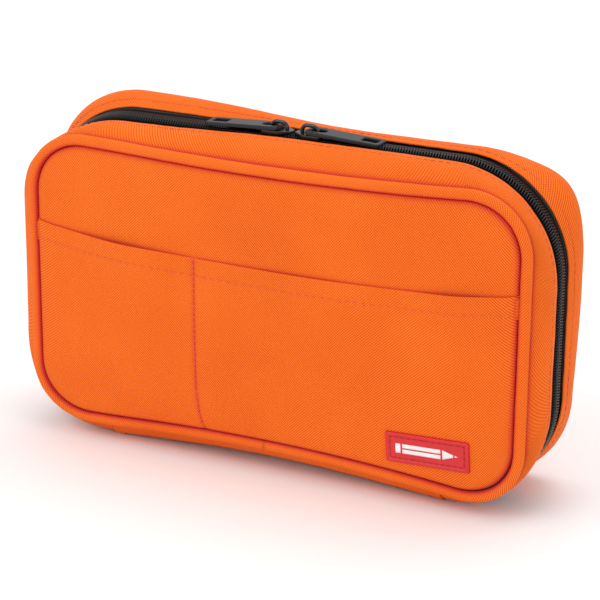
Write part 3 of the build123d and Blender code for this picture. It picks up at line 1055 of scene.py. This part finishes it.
def label_mark():
    """A plain pencil in white: a stub, a long body and a sharpened point, as thin raised plates."""
    outlines = [[(-11.4, -1.7), (-9.6, -1.7), (-9.6, 1.7), (-11.4, 1.7)],
                [(-8.9, -1.7), (5.0, -1.7), (5.0, -0.25), (-8.9, -0.25)],
                [(-8.9, 0.25), (5.0, 0.25), (5.0, 1.7), (-8.9, 1.7)],
                [(5.7, -1.7), (9.6, -0.45), (9.6, 0.45), (5.7, 1.7)],
                [(10.2, -0.3), (11.3, 0.0), (11.3, 0.0), (10.2, 0.3)]]
    points, faces = [], []
    along, up = np.linspace(0, 1, 12)[:, None, None], np.linspace(0, 1, 4)[None, :, None]
    for number, corners in enumerate(np.array(outlines, float)):
        plate = mix(mix(corners[0], corners[3], up), mix(corners[1], corners[2], up), along)
        points.append(label_point(plate[..., 0], plate[..., 1], 0.68))
        faces.append(grid_faces(12, 4) + number * 48)
    piece = add_mesh("label_pencil_mark", np.stack(points), np.concatenate(faces).tolist(),
                     label_white)
    thicken(face_out(tidy_normals(piece), FRONT.facing), 0.12)
    return fit(piece, FRONT.body, "label")


def label_stitches():
    """Stitches in the label's groove, round a rounded rectangle."""
    half, tall = LABEL_SIZE[0] / 2 - LABEL_GROOVE, LABEL_SIZE[1] / 2 - LABEL_GROOVE
    path = loop(Outline(half, -tall, tall, 0.5))
    path = np.concatenate([path, path[:1]])
    row = label_point(path[:, 0], path[:, 1], 0.42)
    away = np.tile([0.0, float(FRONT.facing), 0.0], (len(row), 1))
    return fit(tube_stitches("label_stitches", row, away, thread_red, 1.7, 0.5, 0.13),
               FRONT.body, "label")


# ---- the spine ----------------------------------------------------------------------------------
SPINE_HALF = 64.5


def spine_lines(x):
    """The seam, the foot's edge and the downward normals at places along the spine."""
    seam = grid(x, bowed(x, np.full_like(x, SEAM_OUT.low), SEAM_OUT, 1.0))
    return seam, grid(x, ZIP.low + foot_lift(x)), np.tile([0.0, -1.0], (len(x), 1))


def spine_sheet():
    """The cloth along the underside, from seam to seam: it follows the side walls at its own
    thickness outside them and lies flat between."""
    x = np.linspace(-SPINE_HALF, SPINE_HALF, 140)
    seam, edge, down = spine_lines(x)
    share = np.concatenate([[0, 0.02, 0.05, 0.09], np.linspace(0.14, 1, 20)])
    out = SPINE_THICK - 0.05
    front = wall_surface(FRONT, seam, edge, down, share, out)
    back = wall_surface(BACK, seam, edge, down, share, out)[:, ::-1]
    y = np.linspace(FRONT.edge_y, BACK.edge_y, 26)[1:-1]
    crease = 0.25 * np.exp(-((y - fold_y) / 0.8) ** 2)
    flat = grid(x[:, None], y, edge[:, 1:] - out + crease)
    points = np.concatenate([front, flat, back], 1)
    across = lengths(points[len(x) // 2])
    piece = grid_piece("spine_cloth", points, cloth_orange, grid(x[:, None], across))
    line_inside(thicken(turned(piece, lambda p: -p.normal.z), SPINE_THICK - 0.2))
    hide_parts("front_spine", "back_spine")
    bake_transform(piece)
    return piece


def zip_end_stops():
    """A moulded stop on each end of the zip: a rounded block, as a superellipsoid."""
    u = np.linspace(0, 2 * math.pi, 25)[:, None]
    v = np.linspace(-math.pi / 2, math.pi / 2, 17)[None, :]

    def power(wave):
        return np.sign(wave) * np.abs(wave) ** 0.4

    for side, name in ((-1, "left"), (1, "right")):
        x = side * (SPINE_HALF + 0.3) + 1.3 * power(np.cos(u)) * power(np.cos(v))
        y = fold_y + 3.1 * power(np.sin(u)) * power(np.cos(v))
        z = ZIP.low + foot_lift(SPINE_HALF) + TAPE_DEPTH + power(np.sin(v))
        piece = grid_piece("zip_stop_" + name, grid(x, y, z), zip_nylon, grid(u, v))
        fit(piece, BACK.body, "zip_stop", "zip_stops")


def spine_stitches():
    """A row of stitches across each folded end of the spine, one half on each cover."""
    for side in (FRONT, BACK):
        share = np.linspace(0.06, 1, 30)
        for end in (-1, 1):
            lines = spine_lines(np.full(2, end * (SPINE_HALF - 3.0)))
            row = wall_surface(side, *lines, share, SPINE_THICK - 0.05)[0]
            away = np.tile([0.0, 0.0, -1.0], (30, 1))
            name = f"{side.name}_spine_stitches_{'left' if end < 0 else 'right'}"
            fit(tube_stitches(name, row, away, thread_orange, 2.0, 0.6, 0.17, 0.0), side.body,
                "shell_fabric")


# ---- inside the covers --------------------------------------------------------------------------
def flat_sheet(name, shape, y, facing, material, thick, steps=(100, 60), bow=0.0):
    """A flat cloth with an outline's shape, eased a little out of flat away from its edges."""
    x, z = face_grid(shape, *steps, bow)
    inward = from_seam(x, z, shape, bow)
    soft = 0.12 * np.sin(x / 9.0) * np.sin(z / 7.0 + 0.5) * (1 - np.exp(-inward / 4.0))
    piece = grid_piece(name, grid(x, y + facing * soft, z), material, grid(x, z))
    return thicken(face_out(piece, facing), thick)


def stretched(piece, shape, **said):
    """Hands back the piece unchanged. shape and the keywords are not used."""
    return (piece, 2 * shape.half * MM, (shape.high - shape.low) * MM)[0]


def inner_wall(side):
    """The lining of the side wall, from the cover's lining to the folded edge by the zip."""
    depth_seam, depth_edge = 3.4, 1.7
    seam, edge = loop(SEAM_OUT, 1.0), zip_loop()
    normal = outward(edge)
    if side.facing < 0:
        edge = edge - normal * zip_tilt(edge[:, :1], edge[:, 1:])
    share = np.linspace(0, 1, 14)[None, :]
    bulge = 0.8 * side.bulge(edge[:, :1], edge[:, 1:]) * wall_swell(share)
    inset = mix(depth_seam, depth_edge, share) - bulge
    x, z = wall_line(seam, edge, normal, share, -inset)
    y = mix(side.inside_y, side.edge_y - side.facing * 0.3, share)
    uv = grid(lengths(edge)[:, None], share * abs(side.edge_y - side.inside_y))
    piece = grid_piece(side.name + "_wall_lining", grid(x, y, z), cloth_lining, uv, wrap_rows=True)
    point_outwards(piece).data.flip_normals()
    return fit(thicken(piece, LINING_THICK), side.body, "lining", side.name + "_gusset_lining")


LINING = Outline(SEAM_OUT.half - 2.4, SEAM_OUT.low + 2.6, SEAM_OUT.high - 2.4, SEAM_CORNER - 2)


def seam_tape(side):
    """The binding over the inner seam: an oval carried round the corner of lining and wall."""
    angle = ring_angles(16)
    path = loop(Outline(LINING.half - 0.9, LINING.low + 0.9, LINING.high - 0.9, 19.6), 1.0)
    y = side.inside_y - side.facing * (2.2 + 2.4 * np.sin(angle))
    piece = carried_round(side.name + "_binding_tape", path, 1.5 * np.cos(angle), y, 3.0 * angle,
                          cloth_binding)
    return fit(piece, side.body, "binding", side.name + "_binding")


def inside(side):
    """The lining of a cover with the pocket that is sewn to it."""
    inward = -side.facing
    lining = flat_sheet(side.name + "_lining_cloth", LINING, side.inside_y, inward, cloth_lining,
                        0.4, bow=1.0)
    fit(lining, side.body, "lining", side.name + "_lining")
    stretched(lining, LINING)
    if side is FRONT:
        pocket_name, band_name = "mesh_pocket", "mesh_pocket_elastic"
        cloth, band_cloth, slots = pocket_net, elastic_band, ("mesh", "elastic")
    else:
        pocket_name, band_name = "slip_pocket", "slip_pocket_binding"
        cloth, band_cloth, slots = cloth_lining, cloth_binding, ("lining", "binding")
    half = reach(pocket_name, HIGH, X)
    low, high = reach(pocket_name, LOW, Z), reach(pocket_name, HIGH, Z)
    shape = Outline(half, low, high, 9.0)
    piece = flat_sheet(pocket_name + "_cloth", shape, side.inside_y + inward * 0.6, inward, cloth,
                       0.3, (80, 40))
    band_low, band_high = reach(band_name, LOW, Z), reach(band_name, HIGH, Z)
    band = flat_sheet(band_name + "_band", Outline(half, band_low, band_high, 0.4),
                      side.inside_y + inward * 1.0, inward, band_cloth, 0.8, (80, 12))
    for each, node, slot in ((piece, pocket_name, slots[0]), (band, band_name, slots[1])):
        fit(each, side.body, slot, node)
    stretched(piece, shape, rests_on=[lining], with_pieces=[band])


# ---- the middle page ----------------------------------------------------------------------------
PEN_SLEEVES = 8


def page():
    """The middle page: cloth on both faces, a bound edge, a pen pocket each side and the strip
    that it turns on."""
    low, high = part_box("page_front_cover")
    shape = Outline(high.x / MM, low.z / MM, high.z / MM, 14.8)
    for name, facing in (("front", -1), ("back", 1)):
        node = f"page_{name}_cover"
        y = reach(node, LOW if facing < 0 else HIGH, Y)
        piece = flat_sheet(node + "_cloth", shape, y, facing, cloth_lining, 0.4)
        fit(piece, "page", "lining", node)
        stretched(piece, shape, rests_on=["page_board"])
        pen_pocket(name, facing)
    page_edge()
    hinge_strip()


def pen_pocket(name, facing):
    """A row of sleeves: the cloth swells between upright seams and is flat at its hem."""
    node = f"{name}_pen_pocket"
    low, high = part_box(node)
    shape = Outline(high.x / MM, low.z / MM, high.z / MM, 10.0)
    x, z = face_grid(shape, 180, 60, 0.0)
    inward = from_seam(x, z, shape, 0.0)
    sleeve = np.abs(np.sin((x / shape.half + 1) * PEN_SLEEVES / 2 * math.pi)) ** 0.6
    y_flat = reach(node, HIGH if facing < 0 else LOW, Y)
    y = y_flat + facing * (0.2 + 0.75 * sleeve * (1 - np.exp(-inward / 2.5)))
    piece = grid_piece(node + "_cloth", grid(x, y, z), cloth_lining, grid(x, z))
    thicken(face_out(piece, facing), LINING_THICK)
    fit(piece, "page", "lining", node)
    stretched(piece, shape, rests_on=[f"page_{name}_cover_cloth"])


def page_edge():
    """The binding round the page's edge: an oval carried round its outline."""
    low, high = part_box("page_binding")
    angle = ring_angles(16)
    path = loop(Outline(high.x / MM - 0.8, low.z / MM + 0.8, high.z / MM - 0.8, 15.2))
    piece = carried_round("page_binding_tape", path, 1.5 * np.cos(angle) - 0.5,
                          fold_y + 1.35 * np.sin(angle), 2.0 * angle, cloth_binding)
    return fit(piece, "page", "binding", "page_binding")


def hinge_strip():
    """The cloth strip that the page turns on: flat, from the spine up into the page, where it lies
    between the board and the front cloth."""
    low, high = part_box("page_hinge_strip")
    bottom, top = ZIP.low + 0.4, high.z / MM + 6.0
    x, z = np.linspace(low.x / MM, high.x / MM, 60)[:, None], np.linspace(bottom, top, 24)
    piece = grid_piece("page_hinge_cloth", grid(x, reach("page_board", LOW, Y) - 0.3, z),
                       cloth_lining, grid(x, z))
    thicken(piece, 0.4, 0.0)
    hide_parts("page_hinge_strip")
    bottom * MM
    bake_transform(piece)
    return (piece, (top - bottom) * MM)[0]


# ---- hard parts kept from the frame -------------------------------------------------------------
def finish_hard_parts():
    """Gives each carried-over CAD node its own finish."""
    finishes = {"page_board": board_pe}
    for side in ("left", "right"):
        finishes["slider_" + side] = slider_metal
        finishes["slider_crown_" + side] = slider_paint
        finishes["pull_tab_" + side] = pull_metal
    for name, material in finishes.items():
        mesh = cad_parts[name].data
        mesh.materials.clear()
        mesh.materials.append(material)


# ---- floor, lights and camera -------------------------------------------------------------------
VIEW_AZIMUTH = 26.054
VIEW_ELEVATION = 19.479
VIEW_ROLL = 0.4
VIEW_DISTANCE = 777.6
VIEW_TARGET = Vector((0.0, 4.644, 60.6))
FOCAL_SHARE = 3.6825           # focal length over the picture's width
PICTURE_SHIFT = (0.0019, -0.0167)


def camera():
    """A camera round the target by azimuth and elevation, with a small roll and shift."""
    turn, lift = math.radians(VIEW_AZIMUTH), math.radians(VIEW_ELEVATION)
    back = Vector((math.sin(turn) * math.cos(lift), -math.cos(turn) * math.cos(lift),
                   math.sin(lift)))
    data = bpy.data.cameras.new("camera")
    data.lens = FOCAL_SHARE * data.sensor_width
    data.shift_x, data.shift_y = PICTURE_SHIFT
    data.clip_start, data.clip_end = 0.05, 20.0
    eye = bpy.data.objects.new("camera", data)
    eye.location = (VIEW_TARGET + back * VIEW_DISTANCE) * MM
    level = (-back).to_track_quat("-Z", "Y").to_matrix()
    eye.rotation_euler = (level @ Matrix.Rotation(math.radians(VIEW_ROLL), 3, "Z")).to_euler()
    bpy.context.scene.collection.objects.link(eye)
    bpy.context.scene.camera = eye


def light(name, place, size, power):
    """A square soft light that looks at the case."""
    data = bpy.data.lights.new(name, "AREA")
    data.size, data.energy = size, power
    lamp = bpy.data.objects.new(name, data)
    lamp.location = place
    lamp.rotation_euler = (Vector((0, 0, 0.06)) - Vector(place)).to_track_quat("-Z", "Y").to_euler()
    bpy.context.scene.collection.objects.link(lamp)


def studio():
    """A pale floor, an even white surround and three soft lights."""
    floor_finish = Finish("floor_white")
    tone = floor_finish.noise(3.0, 2.0)
    white = floor_finish.done(
        Base_Color=floor_finish.blend(tone, (0.95, 0.95, 0.95), (0.97, 0.97, 0.97)), Roughness=0.9)
    corners = np.array([(-3, -3, 0), (3, -3, 0), (3, 3, 0), (-3, 3, 0)], float) / MM
    corners[:, 2] = foot_z - 0.02
    floor = add_mesh("floor", corners, [[0, 1, 2, 3]], white, smooth=False)
    world = bpy.data.worlds.new("surround")
    world.use_nodes = True
    sky = world.node_tree.nodes["Background"].inputs
    sky["Color"].default_value, sky["Strength"].default_value = (1, 1, 1, 1), 0.8
    bpy.context.scene.world = world
    light("key", (-0.5, -1.0, 1.1), 0.9, 5.3)
    light("top", (0.1, 0.3, 1.4), 1.0, 6.3)
    light("side", (1.3, -0.4, 0.5), 0.8, 1.5)


camera()
studio()
bpy.context.scene.view_settings.view_transform = "Standard"
for one_side in (FRONT, BACK):
    for build in (cover_panel, cover_foam, cover_piping, cover_gusset, gusset_stitches, zip_tape,
                  zip_coil, inner_wall, seam_tape, inside):
        build(one_side)
for build in (front_pocket, pocket_stitches, label_plate, label_mark, label_stitches, spine_sheet,
              spine_stitches, zip_end_stops, page, finish_hard_parts):
    build()
